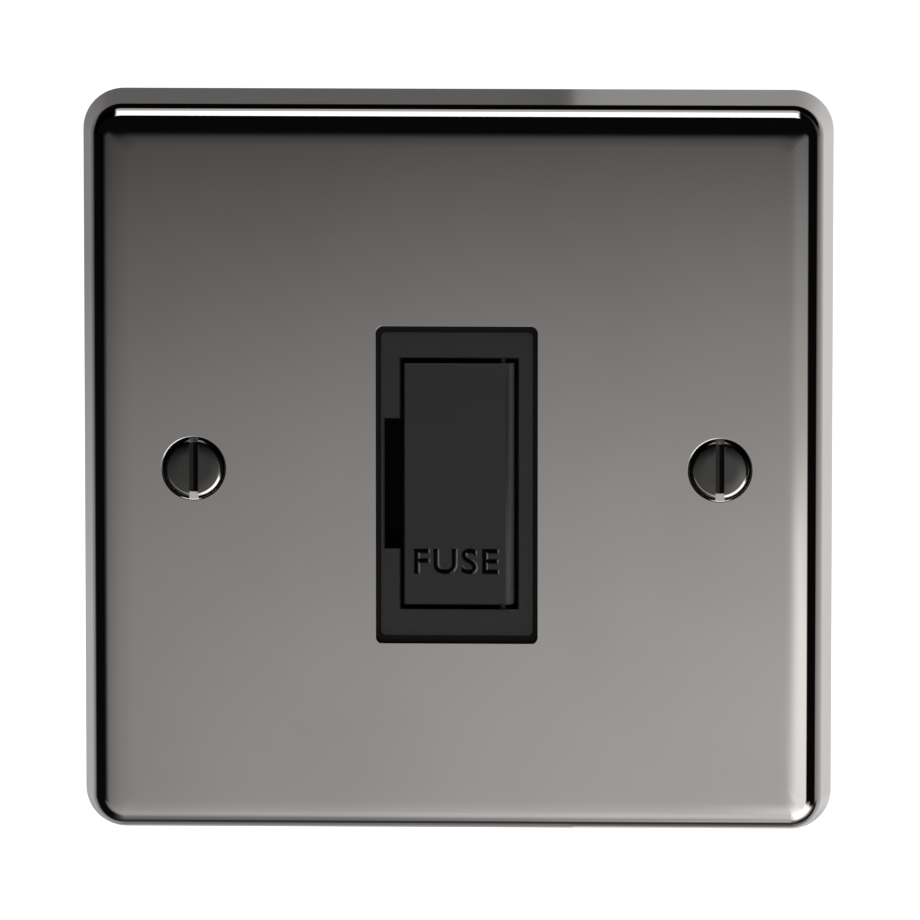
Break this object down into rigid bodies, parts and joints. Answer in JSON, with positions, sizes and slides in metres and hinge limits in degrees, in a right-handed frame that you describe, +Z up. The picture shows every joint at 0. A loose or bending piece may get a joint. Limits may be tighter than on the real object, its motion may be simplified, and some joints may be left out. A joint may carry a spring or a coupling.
{
  "type": "fused connection unit",
  "caption": "Square metal wall plate with a black moulded insert whose fuse carrier swings out on a side hinge; brass wire terminals behind.",
  "frame": {"origin": "middle of the plate's rim, in the plane of the wall, on the line of the two fixing screws", "axes": "+Y into the wall, +Z up, +X to the right as seen from in front"},
  "size_m": [0.086, 0.0285, 0.086],
  "materials": {
    "black_nickel": "mirror black nickel plate on pressed steel",
    "black_plastic": "satin moulded black",
    "housing_plastic": "moulded black, fine texture",
    "shield_plastic": "flat insulating sheet",
    "fuse_ceramic": "glazed ceramic",
    "fuse_cap_metal": "nickel-plated brass",
    "clip_bronze": "sprung phosphor bronze strip",
    "terminal_brass": "drawn brass",
    "strap_brass": "rolled brass strip",
    "link_copper": "rolled copper strip",
    "screw_steel": "zinc-plated steel",
    "fixing_screw_metal": "black nickel plated, slotted"
  },
  "bodies": {
    "unit": {"front_plate": "black_nickel", "insert_frame": "black_plastic", "feed_fuse_clip": "clip_bronze", "load_fuse_clip": "clip_bronze", "base_housing": "housing_plastic", "rear_shield": "shield_plastic", "neutral_link": "link_copper", "earth_strap": "strap_brass", "plate_pillar_left": "screw_steel", "plate_pillar_right": "screw_steel", "housing_screw_left": "screw_steel", "housing_screw_right": "screw_steel", "fixing_screw_left": "fixing_screw_metal", "fixing_screw_right": "fixing_screw_metal", "feed_live_terminal": "terminal_brass", "feed_live_screw": "screw_steel", "feed_earth_terminal": "terminal_brass", "feed_earth_screw": "screw_steel", "feed_neutral_terminal": "terminal_brass", "feed_neutral_screw": "screw_steel", "load_live_terminal": "terminal_brass", "load_live_screw": "screw_steel", "load_earth_terminal": "terminal_brass", "load_earth_screw": "screw_steel", "load_neutral_terminal": "terminal_brass", "load_neutral_screw": "screw_steel"},
    "carrier": {"fuse_carrier": "black_plastic", "fuse_barrel": "fuse_ceramic", "fuse_cap_upper": "fuse_cap_metal", "fuse_cap_lower": "fuse_cap_metal"}
  },
  "joints": [
    {"name": "carrier_swing", "type": "hinge", "parent": "unit", "child": "carrier", "pos_m": [0.00498, -0.0046, -0.0019], "axis": [0, 0, 1], "range_deg": [0, 75]}
  ]
}
